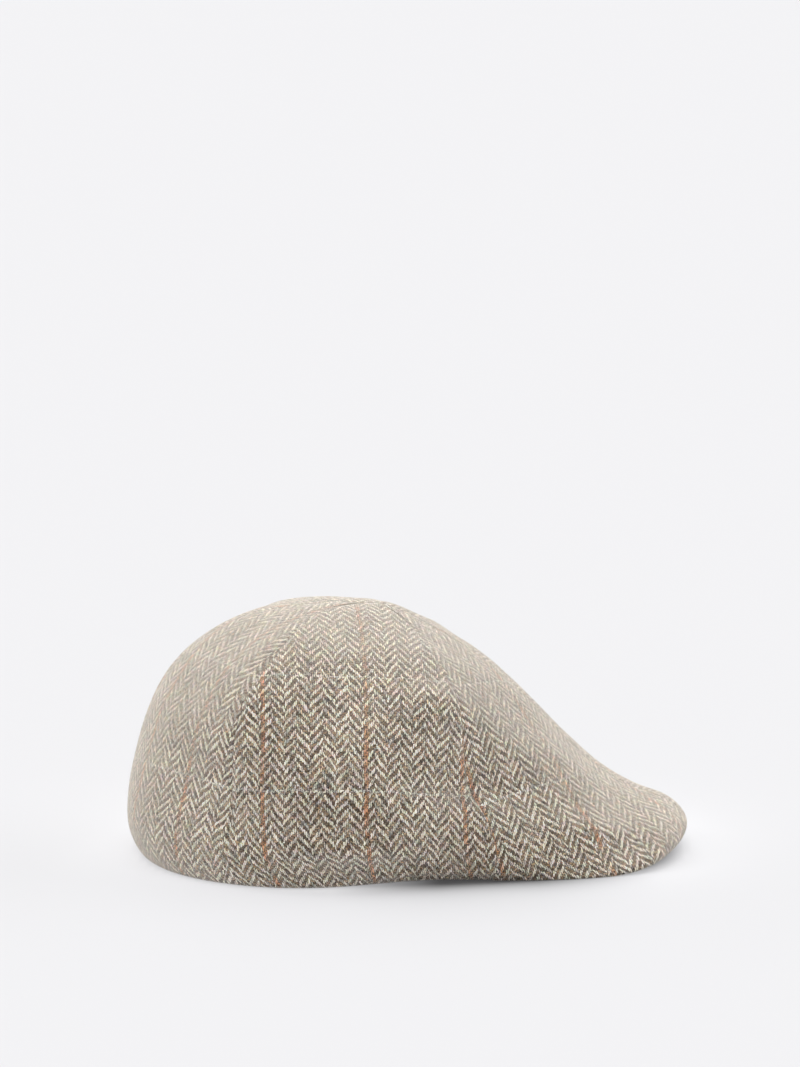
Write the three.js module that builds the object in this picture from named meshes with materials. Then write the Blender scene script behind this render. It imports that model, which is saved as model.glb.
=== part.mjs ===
// Herringbone duckbill flat cap: six gores that meet at the crown's apex, and the peak under the two front ones.
// Millimetres. +X is the peak's side, +Z is up, -Y is the wearer's right. The cap rests on z = 0.
import * as THREE from 'three';

// ---- driving dimensions ----
const APEX_X = -17;            // the six gores meet here
const CLOTH = 2.0;             // wall of the cloth
const HEM = 3.6;               // wall where the hem is turned up inside
const HEM_TOP = 0.085;         // fraction of a meridian that the hem reaches
const GAP = 0.3;               // clearance between neighbouring pieces
const SEAM_DIP = 0.7;          // depth of the valley along a seam
const SEAM_HALF = 3.0;         // half width of that valley
const ROLL = 1.2;              // rounding of the lower outer edge
const BOARD = 3.0;             // peak board in its under-cloth
const PEAK_CLEAR = 1.0;        // from the inside of the front gores to the board, with the curve between their facets
const PEAK_EDGE_T = 0.012;     // the peak starts this far in from its edge
const PEAK_FLAT_T = 0.11;      // up to this fraction of a meridian the peak follows the gores above it

// ---- stations round the lower edge of the right half, and the knots of a meridian ----
const KNOTS = [0, 0.025, 0.06, 0.14, 0.26, 0.40, 0.55, 0.71, 0.87, 1.0];
// one row a station of the right half, from the tip to the back: x, distance from the middle plane (y) and height (z) of its meridian at the knots
const STATIONS = [
  { at: 'tip',
    x: [136.2, 137.5, 132.8, 118.1, 97.5, 77.2, 56.9, 33.6, 6.8, -17.0],
    y: [0.0, 0.0, 0.0, 0.0, 0.0, 0.0, 0.0, 0.0, 0.0, 0.0],
    z: [9.6, 13.2, 20.0, 27.1, 38.0, 55.9, 77.0, 97.8, 113.9, 122.6] },
  { at: 'tip quarter',
    x: [133.8, 135.0, 130.2, 116.2, 95.6, 75.9, 55.9, 33.1, 6.6, -17.0],
    y: [22.0, 22.0, 20.4, 17.5, 15.4, 13.2, 10.6, 7.2, 3.3, 0.0],
    z: [8.3, 12.1, 18.7, 26.2, 37.7, 56.0, 77.2, 97.8, 113.9, 122.6] },
  { at: 'beak',
    x: [128.3, 128.6, 123.4, 111.3, 92.5, 73.4, 54.3, 31.8, 6.1, -17.0],
    y: [38.0, 37.6, 34.9, 30.4, 25.6, 21.4, 17.4, 12.1, 5.7, 0.0],
    z: [6.0, 9.6, 15.3, 23.2, 36.3, 55.7, 77.4, 97.7, 114.0, 122.6] },
  { at: 'corner of the peak',
    x: [118.0, 118.2, 113.8, 104.3, 87.5, 69.6, 51.7, 29.8, 5.3, -17.0],
    y: [51.8, 51.0, 46.5, 40.8, 33.7, 27.7, 22.8, 16.2, 7.9, 0.0],
    z: [2.3, 6.0, 10.9, 21.2, 35.5, 54.9, 77.2, 97.7, 114.3, 122.6] },
  { at: 'side of the peak',
    x: [100.0, 100.9, 99.9, 93.0, 79.2, 62.4, 46.2, 26.3, 3.7, -17.0],
    y: [62.0, 60.6, 56.1, 49.6, 40.7, 34.3, 28.6, 20.5, 10.1, 0.0],
    z: [0.0, 4.0, 10.2, 22.0, 37.2, 56.3, 78.3, 98.6, 115.0, 122.6] },
  { at: 'side of the peak, rear',
    x: [78.0, 79.2, 80.0, 77.5, 67.4, 53.1, 39.1, 21.6, 1.4, -17.0],
    y: [68.0, 66.4, 61.4, 54.2, 48.9, 41.6, 34.9, 25.3, 12.5, 0.0],
    z: [0.0, 4.4, 10.5, 23.0, 40.6, 59.5, 80.7, 100.6, 116.0, 122.6] },
  { at: 'end of the peak',
    x: [54.0, 55.8, 58.3, 58.2, 52.6, 41.1, 29.9, 15.1, -1.6, -17.0],
    y: [71.0, 69.9, 66.9, 61.1, 58.2, 49.9, 43.6, 32.3, 15.8, 0.0],
    z: [0.2, 4.7, 11.3, 24.5, 44.1, 63.1, 84.0, 102.7, 116.8, 122.6] },
  { at: 'temple',
    x: [28.0, 29.6, 31.4, 32.8, 30.6, 23.0, 14.7, 4.6, -6.7, -17.0],
    y: [74.5, 74.0, 73.1, 70.3, 70.4, 62.5, 55.5, 39.3, 19.1, 0.0],
    z: [1.2, 5.6, 11.8, 25.3, 44.9, 65.1, 87.0, 104.4, 117.8, 122.6] },
  { at: 'temple, rear',
    x: [0.0, -0.3, -0.5, 0.7, 1.3, -2.2, -7.1, -11.0, -14.4, -17.0],
    y: [79.0, 80.2, 82.2, 86.7, 84.2, 74.9, 62.9, 44.0, 21.4, 0.0],
    z: [1.6, 5.1, 10.4, 25.1, 45.5, 67.3, 88.0, 105.6, 118.9, 122.6] },
  { at: 'side',
    x: [-30.0, -31.6, -33.3, -33.4, -33.1, -34.6, -34.0, -29.4, -23.1, -17.0],
    y: [84.0, 86.2, 89.0, 93.1, 91.6, 81.6, 65.6, 45.7, 21.6, 0.0],
    z: [0.2, 4.1, 9.9, 24.7, 46.1, 68.9, 89.4, 107.2, 119.7, 122.6] },
  { at: 'side, widest',
    x: [-60.0, -62.3, -65.1, -67.6, -66.5, -65.8, -58.5, -45.9, -30.7, -17.0],
    y: [86.0, 86.9, 88.1, 89.3, 85.4, 78.0, 62.6, 42.8, 19.8, 0.0],
    z: [0.0, 4.5, 10.7, 25.2, 47.0, 70.4, 92.0, 109.5, 120.5, 122.6] },
  { at: 'rear quarter',
    x: [-88.0, -89.8, -92.1, -94.8, -94.2, -90.6, -78.2, -58.6, -36.0, -17.0],
    y: [77.5, 78.1, 78.5, 76.5, 69.5, 64.0, 53.0, 36.1, 16.6, 0.0],
    z: [0.0, 4.6, 11.0, 25.9, 47.2, 72.1, 95.3, 112.3, 121.3, 122.6] },
  { at: 'back quarter',
    x: [-111.0, -112.6, -114.5, -116.8, -114.4, -107.6, -92.3, -67.5, -39.8, -17.0],
    y: [60.0, 58.8, 57.2, 53.6, 49.0, 45.2, 38.4, 26.9, 12.2, 0.0],
    z: [0.0, 4.9, 11.6, 26.2, 48.0, 73.2, 97.7, 114.7, 122.0, 122.6] },
  { at: 'back, near the middle',
    x: [-126.0, -128.3, -131.1, -133.9, -128.4, -119.2, -100.9, -73.2, -42.2, -17.0],
    y: [34.5, 33.7, 32.6, 30.1, 26.8, 24.7, 21.4, 14.9, 6.7, 0.0],
    z: [0.0, 4.4, 10.9, 27.1, 49.4, 76.3, 100.4, 116.3, 122.6, 122.6] },
  { at: 'back',
    x: [-131.8, -134.1, -136.6, -136.9, -133.0, -123.3, -104.4, -75.3, -43.2, -17.0],
    y: [0.0, 0.0, 0.0, 0.0, 0.0, 0.0, 0.0, 0.0, 0.0, 0.0],
    z: [0.0, 4.0, 10.2, 27.4, 50.0, 77.5, 101.4, 116.9, 122.9, 122.6] },
];
// ---- seams: station number at each knot ----
const SEAM = {
  front_side: [6.50, 6.53, 6.62, 6.79, 6.93, 6.84, 6.57, 6.33, 5.45, 4.70],
  side_back: [10.98, 10.93, 10.82, 10.69, 10.65, 10.66, 10.67, 10.78, 11.75, 13.20],
};
// the head opening's oval in plan: the peak's root lies on its front arc, by station
const HEAD_OVAL = { x: -24, half_length: 101, half_width: 84 };
const PEAK_ROOT = {
  station: [0, 1, 2, 3, 4, 5, 6, 6.42],
  angle: [0, 8.9, 16.6, 22.8, 29.4, 36.6, 44.6, 48.6],
  z: [33, 32.2, 30, 26.8, 22, 15.5, 8, 5],
};

// how far the cloth stands proud of the smooth form, in mm: one row a place round the edge (the same numbers as the
// stations), one column a knot from the lower edge to the apex
const RELIEF = {
  station: [0, 0.8, 1.6, 2.4, 3.1, 3.8, 4.5, 5.2, 5.9, 6.7, 7.6, 8.5, 9.4, 10.3, 11.0, 11.7, 12.4, 13.2, 14.0],
  knots: [0, 0.03, 0.07, 0.12, 0.18, 0.25, 0.32, 0.39, 0.46, 0.54, 0.62, 0.71, 0.81, 0.91, 1.0],
  rows: [
    [0.1, -0.2, -0.1, 0.1, 0.1, 0.1, 0.1, 0.1, 0, 0.1, 0, -0.2, -0.4, 0, 0],
    [0.3, 0.2, 0, -0.2, -0.1, -0.1, -0.1, -0.1, 0, 0.1, 0.1, -0.2, -0.3, 0.2, 0],
    [0.6, 0.8, 1, 0.2, 0.2, 0.5, 0.6, 0.2, -0.2, -0.1, 0, 0, -0.2, 0.1, 0],
    [0.8, 1.6, 2.1, 1.2, 0.3, 1.2, 1.8, 1.3, 0, -0.3, 0.4, 0.3, -0.1, 0.3, 0],
    [0.2, 0.2, 0.9, 1.3, 0.2, 1.3, 2.4, 2.8, 1, 0, 0.9, 0.6, -0.1, 0.3, 0],
    [-0.7, -1.1, -0.6, 1, 0.3, 1, 2.5, 3.5, 2.1, 0.8, 1.6, 0.8, 0, 0.3, 0],
    [-1.4, -0.7, 0.6, 1.8, 0.5, 0.3, 1.8, 3.5, 2.8, 1.9, 2.1, 0.8, -0.1, 0.3, 0],
    [-1.3, -0.7, 1.2, 2.5, 0.6, -1.1, 0.8, 3.6, 3.3, 2.8, 2.1, 0.7, -0.1, 0.4, 0],
    [-0.2, 0.8, 1.9, 2.2, 0.1, -2.6, -0.8, 3.2, 3.7, 3.2, 1.6, 0.9, -0.1, 0.2, 0],
    [0.6, 1.9, 2.7, 3.9, 2.3, -3.6, -2.2, 1.6, 3, 3, 0.7, 0.8, -0.3, 0, 0],
    [0.7, 1.6, 2.5, 2.2, 0.8, -1.9, -2.3, 0.7, 0.9, 0.9, 0.1, 0.4, -0.3, -0.3, 0],
    [-0.1, 0.5, 0.4, 2.5, -0.2, -1.1, -1, -0.8, -0.8, -1.1, -0.5, 0.1, -0.6, 0, 0],
    [-0.6, -1, -0.4, 1.7, -1.4, -1.4, -1.3, -1.5, -1.3, 0, 1, 1.2, -0.4, 0.1, 0],
    [-0.8, -0.3, -0.4, -1, -3.1, -1.7, -1, -0.2, 2.1, 3.6, 3.5, 2.9, 0.4, 0.1, 0],
    [-0.5, 0.4, 0, -0.9, -2.1, -1.3, 0, 0.7, 1.7, 3.5, 4.1, 3.2, 0.6, 0.1, 0],
    [-0.2, 1.2, 1.5, 1.4, 0.1, -0.6, -0.6, 0.3, 0.4, 1.2, 1.3, 1.7, 0.3, 0, 0],
    [0, 1.7, 2.7, 2.9, 0.8, 0.9, 0.3, 0.6, -1.4, -0.6, -0.7, 0, -0.1, 0, 0],
    [0.1, 0.2, 0.3, 0.2, -0.2, 0.3, 0.1, -0.2, -0.9, -0.6, -0.1, 0.1, -0.4, -0.1, 0],
    [0, 0, 0, 0.1, 0.2, 0, 0.1, 0.1, 0.4, 0.6, 0.7, 0.5, -0.4, -0.5, 0],
  ],
};
// a soft fold along the seams between the panels, in mm, dying away over FOLD_LENGTH on both sides
const FOLD_LENGTH = 9;
const FOLD = {
  knots: [0, 0.12, 0.25, 0.38, 0.52, 0.66, 0.82, 1.0],
  front_side: [1.7, 1.1, -0.5, 0.1, 0.2, 1.4, -0.3, -0.3],
  side_back: [0.9, 0, 0.2, 0.2, 0.8, 0.1, 0.7, -0.1],
};

// ---- splines ----
// cubic through (x, y); natural or level at each end
function secondDerivs(x, y, levelEnd, levelStart = false) {
  const n = x.length, a = [], b = [], c = [], d = [];
  for (let i = 0; i < n; i++) { a.push(0); b.push(1); c.push(0); d.push(0); }
  for (let i = 1; i < n - 1; i++) {
    const h0 = x[i] - x[i - 1], h1 = x[i + 1] - x[i];
    a[i] = h0; b[i] = 2 * (h0 + h1); c[i] = h1;
    d[i] = 6 * ((y[i + 1] - y[i]) / h1 - (y[i] - y[i - 1]) / h0);
  }
  if (levelEnd) {
    const h = x[n - 1] - x[n - 2];
    a[n - 1] = h; b[n - 1] = 2 * h; d[n - 1] = 6 * (0 - (y[n - 1] - y[n - 2]) / h);
  }
  if (levelStart) {
    const h = x[1] - x[0];
    b[0] = 2 * h; c[0] = h; d[0] = 6 * (y[1] - y[0]) / h;
  }
  for (let i = 1; i < n; i++) { const m = a[i] / b[i - 1]; b[i] -= m * c[i - 1]; d[i] -= m * d[i - 1]; }
  const M = new Array(n).fill(0);
  M[n - 1] = d[n - 1] / b[n - 1];
  for (let i = n - 2; i >= 0; i--) M[i] = (d[i] - c[i] * M[i + 1]) / b[i];
  return M;
}
function splineAt(x, y, M, q) {
  let i = 0;
  while (i < x.length - 2 && q > x[i + 1]) i++;
  const h = x[i + 1] - x[i], A = (x[i + 1] - q) / h, B = (q - x[i]) / h;
  return A * y[i] + B * y[i + 1] + ((A * A * A - A) * M[i] + (B * B * B - B) * M[i + 1]) * h * h / 6;
}
// closed cubic through evenly spaced values
function ringDerivs(y) {
  const n = y.length, M = new Array(n).fill(0);
  for (let k = 0; k < 50; k++) for (let i = 0; i < n; i++) {
    const p = (i + n - 1) % n, q = (i + 1) % n;
    M[i] = (6 * (y[q] - 2 * y[i] + y[p]) - M[p] - M[q]) / 4;
  }
  return M;
}
function ringAt(y, M, s) {
  const n = y.length, f = Math.floor(s), B = s - f, A = 1 - B, i = ((f % n) + n) % n, j = (i + 1) % n;
  return A * y[i] + B * y[j] + ((A * A * A - A) * M[i] + (B * B * B - B) * M[j]) / 6;
}
// ---- the outer surface of the whole cap: s runs round the edge (0 tip, 14 back), t from the edge to the apex ----
const LAST = STATIONS.length - 1;
const knotRows = ['x', 'y', 'z'].map((key) => STATIONS.map((row) => {
  const y = row[key]; return { y, M: secondDerivs(KNOTS, y, key === 'z') };
}));
const ringCache = new Map();
function ringsFor(t) {
  const id = Math.round(t * 1e7);
  if (!ringCache.has(id)) {
    ringCache.set(id, knotRows.map((rows, c) => {
      const half = rows.map((r) => splineAt(KNOTS, r.y, r.M, t));
      const back = half.slice(1, LAST).reverse().map((v) => (c === 1 ? -v : v));
      const ring = half.concat(back);
      if (c === 1) { ring[0] = 0; ring[LAST] = 0; }
      return { ring, M: ringDerivs(ring) };
    }));
  }
  return ringCache.get(id);
}
function form(s, t) {
  const r = ringsFor(t);
  return new THREE.Vector3(ringAt(r[0].ring, r[0].M, s), -ringAt(r[1].ring, r[1].M, s), Math.max(0, ringAt(r[2].ring, r[2].M, s)));
}
function normalOf(surface, s, t) {
  const e = 0.004, t0 = Math.max(0, t - e), t1 = Math.min(0.999, t + e);
  const ds = surface(s + 0.02, t).sub(surface(s - 0.02, t)), dt = surface(s, t1).sub(surface(s, t0));
  return dt.cross(ds).normalize();
}
// the relief and the folds fade out towards the lower edge, which lies on the ground
function edgeFade(t) { const q = Math.min(1, t / 0.03); return q * q * (3 - 2 * q); }
const reliefRows = RELIEF.rows.map((row) => secondDerivs(RELIEF.knots, row, false));
const reliefCache = new Map();
function relief(s, t) {
  const id = Math.round(t * 1e7);
  if (!reliefCache.has(id)) {
    const col = RELIEF.rows.map((row, i) => splineAt(RELIEF.knots, row, reliefRows[i], t));
    reliefCache.set(id, { col, M: secondDerivs(RELIEF.station, col, true, true) });
  }
  const { col, M } = reliefCache.get(id);
  return edgeFade(t) * splineAt(RELIEF.station, col, M, Math.min(LAST, Math.abs(s)));
}
function skin(s, t) {
  const p = form(s, t).addScaledVector(normalOf(form, s, t), relief(s, t));
  p.z = Math.max(0, p.z);
  return p;
}
const skinNormal = (s, t) => normalOf(skin, s, t);

// ---- one gore as a closed wall between two seams ----
const COLS = { front: 18, side: 14, back: 12 };
const ROWS = [0, 0.014, 0.035, 0.06, 0.085, 0.11, 0.14, 0.18, 0.225, 0.275, 0.33, 0.385, 0.44, 0.50, 0.56, 0.62, 0.68, 0.74, 0.80, 0.86, 0.92, 0.965, 0.988];
const seamSpline = {};
for (const k of Object.keys(SEAM)) seamSpline[k] = { y: SEAM[k], M: secondDerivs(KNOTS, SEAM[k], false) };
const foldSpline = {};
for (const k of ['front_side', 'side_back']) foldSpline[k] = { y: FOLD[k], M: secondDerivs(FOLD.knots, FOLD[k], false) };
const foldAt = (edge, t, d) => (typeof edge === 'number' ? 0
  : edgeFade(t) * splineAt(FOLD.knots, foldSpline[edge].y, foldSpline[edge].M, t) * Math.exp(-d / FOLD_LENGTH));
const seamAt = (edge, t) => (typeof edge === 'number' ? edge : splineAt(KNOTS, seamSpline[edge].y, seamSpline[edge].M, t));

// columns: distances from both seams that carry the valley, then even steps
function columnPoints(from, to, t, cols) {
  const a = seamAt(from, t), b = seamAt(to, t);
  const n = 160, pts = [], len = [0];
  for (let i = 0; i <= n; i++) { pts.push(skin(a + (b - a) * i / n, t)); if (i) len.push(len[i - 1] + pts[i].distanceTo(pts[i - 1])); }
  const L = len[n], half = Math.min(SEAM_HALF, L * 0.16), g = GAP / 2, out = [];
  const want = [g, g + half * 0.45, g + half];
  for (let i = 1; i < cols - 5; i++) want.push(g + half + (L - 2 * g - 2 * half) * i / (cols - 5));
  want.push(L - g - half, L - g - half * 0.45, L - g);
  for (const w of want) {
    let i = 1; while (i < n && len[i] < w) i++;
    const f = (w - len[i - 1]) / (len[i] - len[i - 1]);
    const edge = Math.min(w, L - w) - g;
    const dip = SEAM_DIP * Math.pow(Math.max(0, 1 - edge / half), 2) * Math.min(1, L / 30);
    const lift = foldAt(from, t, w) + foldAt(to, t, L - w);
    out.push({ s: a + (b - a) * (i - 1 + f) / n, dip, lift });
  }
  return out;
}
function wallAt(t) { return t < HEM_TOP ? HEM : Math.max(CLOTH, HEM - (HEM - CLOTH) * (t - HEM_TOP) / 0.05); }

function goreGeometry(from, to, cols, plainHem) {
  const outer = [], inner = [];
  for (const t of ROWS) {
    const ro = [], ri = [];
    for (const { s, dip, lift } of columnPoints(from, to, t, cols)) {
      const p = skin(s, t), n = skinNormal(s, t);
      const thick = plainHem ? CLOTH : wallAt(t);
      if (t === 0) {
        const flat = new THREE.Vector3(n.x, n.y, 0).normalize();
        ro.push(p.clone().addScaledVector(flat, -ROLL - dip));
        ri.push(p.clone().addScaledVector(flat, -thick - dip * 0.3));
      } else {
        ro.push(p.clone().addScaledVector(n, lift - dip));
        ri.push(p.clone().addScaledVector(n, lift - thick - dip * 0.3));
      }
    }
    outer.push(ro); inner.push(ri);
  }
  return closedSheet(outer, inner);
}

// two equal grids of points, outer and inner, joined round their border into one closed body
function closedSheet(outer, inner) {
  const R = outer.length, C = outer[0].length, verts = [], idx = [];
  for (const grid of [outer, inner]) for (const row of grid) for (const p of row) verts.push(p.x, p.y, p.z);
  const o = (r, c) => r * C + c, q = (r, c) => R * C + r * C + c;
  const quad = (a, b, c, d) => {
    const P = (i) => new THREE.Vector3(verts[3 * i], verts[3 * i + 1], verts[3 * i + 2]);
    if (P(a).distanceTo(P(c)) <= P(b).distanceTo(P(d))) idx.push(a, b, c, a, c, d); else idx.push(a, b, d, b, c, d);
  };
  for (let r = 0; r < R - 1; r++) for (let c = 0; c < C - 1; c++) {
    quad(o(r, c), o(r + 1, c), o(r + 1, c + 1), o(r, c + 1));
    quad(q(r, c), q(r, c + 1), q(r + 1, c + 1), q(r + 1, c));
  }
  for (let r = 0; r < R - 1; r++) {
    quad(o(r, 0), q(r, 0), q(r + 1, 0), o(r + 1, 0));
    quad(o(r, C - 1), o(r + 1, C - 1), q(r + 1, C - 1), q(r, C - 1));
  }
  for (let c = 0; c < C - 1; c++) {
    quad(o(0, c), o(0, c + 1), q(0, c + 1), q(0, c));
    quad(o(R - 1, c), q(R - 1, c), q(R - 1, c + 1), o(R - 1, c + 1));
  }
  const g = new THREE.BufferGeometry();
  g.setAttribute('position', new THREE.Float32BufferAttribute(verts, 3));
  g.setIndex(idx);
  return outward(g);
}
function signedVolume(g) {
  const p = g.attributes.position, ix = g.index.array;
  let v = 0; const a = new THREE.Vector3(), b = new THREE.Vector3(), c = new THREE.Vector3();
  for (let i = 0; i < ix.length; i += 3) {
    a.fromBufferAttribute(p, ix[i]); b.fromBufferAttribute(p, ix[i + 1]); c.fromBufferAttribute(p, ix[i + 2]);
    v += a.dot(b.cross(c)) / 6;
  }
  return v;
}
function outward(g) {
  if (signedVolume(g) < 0) {
    const ix = g.index.array;
    for (let i = 0; i < ix.length; i += 3) { const k = ix[i + 1]; ix[i + 1] = ix[i + 2]; ix[i + 2] = k; }
  }
  g.computeVertexNormals();
  return g;
}
// the far side is the near side turned over in y
function mirrored(g) {
  const m = g.clone(), p = m.attributes.position;
  for (let i = 0; i < p.count; i++) p.setY(i, -p.getY(i));
  return outward(m);
}

// ---- the peak: a curved sheet that follows the front gores near its edge and leaves them for its root ----
function peakGeometry() {
  const top = [], under = [], nC = 32, rows = [0, 0.12, 0.26, 0.4, 0.55, 0.7, 0.85, 1];
  const sEnd = PEAK_ROOT.station[PEAK_ROOT.station.length - 1];
  const angleM = secondDerivs(PEAK_ROOT.station, PEAK_ROOT.angle, false), zM = secondDerivs(PEAK_ROOT.station, PEAK_ROOT.z, false);
  const inset = CLOTH + PEAK_CLEAR;
  for (const f of rows) {
    const rt = [], ru = [];
    for (let c = 0; c <= nC; c++) {
      const s = -sEnd + 2 * sEnd * c / nC, m = Math.abs(s), sign = s < 0 ? -1 : 1;
      const tLeave = PEAK_FLAT_T - 0.05 * Math.max(0, m - 3) / 3.42;
      const angle = splineAt(PEAK_ROOT.station, PEAK_ROOT.angle, angleM, m) * Math.PI / 180;
      const root = new THREE.Vector3(HEAD_OVAL.x + HEAD_OVAL.half_length * Math.cos(angle),
        -sign * HEAD_OVAL.half_width * Math.sin(angle), splineAt(PEAK_ROOT.station, PEAK_ROOT.z, zM, m));
      const at = (t) => skin(s, t).addScaledVector(skinNormal(s, t), -inset);
      const leave = at(tLeave), n = skinNormal(s, tLeave);
      const share = 0.4 - 0.1 * m / sEnd;                  // part of the way that follows the gores
      let p, dir;
      if (f <= share) {
        const t = PEAK_EDGE_T + (tLeave - PEAK_EDGE_T) * f / share;
        p = at(t); dir = n.clone();
      } else {
        const g = (f - share) / (1 - share), span = root.distanceTo(leave);
        const t0 = at(tLeave + 0.01).sub(leave).setLength(span), t1 = root.clone().sub(leave).setZ(0).setLength(span);
        const h00 = 2 * g ** 3 - 3 * g * g + 1, h10 = g ** 3 - 2 * g * g + g, h01 = 3 * g * g - 2 * g ** 3, h11 = g ** 3 - g * g;
        p = leave.clone().multiplyScalar(h00).addScaledVector(t0, h10 * 0.6).addScaledVector(root, h01).addScaledVector(t1, h11 * 0.6);
        dir = n.clone().lerp(new THREE.Vector3(0, 0, 1), g).normalize();
      }
      // the underside: parallel to the top past the edge, and a straight run down to the edge before it
      let low = p.clone().addScaledVector(dir, -BOARD);
      if (f < share) {
        const edge = at(PEAK_EDGE_T).addScaledVector(skinNormal(s, PEAK_EDGE_T), -0.9);
        low = edge.lerp(leave.clone().addScaledVector(n, -BOARD), f / share);
      }
      rt.push(p); ru.push(low);
    }
    top.push(rt); under.push(ru);
  }
  return closedSheet(top, under);
}

// ---- assembly ----
function cloth(name, hex, geometry) {
  const mesh = new THREE.Mesh(geometry, new THREE.MeshStandardMaterial({ color: hex, roughness: 0.95, metalness: 0 }));
  mesh.name = name;
  return mesh;
}
const cap = new THREE.Group();
cap.name = 'flat_cap';
const front = goreGeometry(0, 'front_side', COLS.front, true);
const side = goreGeometry('front_side', 'side_back', COLS.side, false);
const back = goreGeometry('side_back', LAST, COLS.back, false);
cap.add(
  cloth('front_panel_right', 0xb3a795, front), cloth('front_panel_left', 0xb1a593, mirrored(front)),
  cloth('side_panel_right', 0xa89c8b, side), cloth('side_panel_left', 0xa69a89, mirrored(side)),
  cloth('back_panel_right', 0xb8ad9c, back), cloth('back_panel_left', 0xb6ab9a, mirrored(back)),
  cloth('peak', 0x9c907f, peakGeometry()),
);
export default cap;
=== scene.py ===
import bpy
import math
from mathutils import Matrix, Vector


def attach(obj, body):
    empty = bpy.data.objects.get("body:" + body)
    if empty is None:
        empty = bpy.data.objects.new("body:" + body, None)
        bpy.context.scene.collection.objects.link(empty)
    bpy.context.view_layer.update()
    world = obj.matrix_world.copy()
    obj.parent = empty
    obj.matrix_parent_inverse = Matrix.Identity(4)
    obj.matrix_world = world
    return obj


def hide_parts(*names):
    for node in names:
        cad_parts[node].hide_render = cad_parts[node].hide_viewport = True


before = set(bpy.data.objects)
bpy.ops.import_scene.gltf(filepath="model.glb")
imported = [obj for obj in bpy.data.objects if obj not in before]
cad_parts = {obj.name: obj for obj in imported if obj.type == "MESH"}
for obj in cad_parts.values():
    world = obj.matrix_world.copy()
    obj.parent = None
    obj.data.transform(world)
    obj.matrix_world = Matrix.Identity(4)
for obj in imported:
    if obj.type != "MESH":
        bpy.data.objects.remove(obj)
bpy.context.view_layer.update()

# ---------------------------------------------------------------- camera
DISTANCE, ELEVATION = 4.50, math.radians(13.6)
AIM = Vector((-0.0037, 0.0, 0.0519))            # the middle of the cap's outline
TILT = math.radians(1.308)                      # the lens points above it, so the cap sits low in the frame
cam_data = bpy.data.cameras.new("Camera")
camera = bpy.data.objects.new("Camera", cam_data)
bpy.context.scene.collection.objects.link(camera)
camera.location = AIM + Vector((0, -math.cos(ELEVATION), math.sin(ELEVATION))) * DISTANCE
camera.rotation_euler = (math.pi / 2 - ELEVATION + TILT, 0, 0)
cam_data.sensor_fit = "HORIZONTAL"
cam_data.sensor_width = 36.0
cam_data.lens = 412.5
cam_data.clip_start, cam_data.clip_end = 0.05, 400.0
bpy.context.scene.camera = camera

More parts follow.
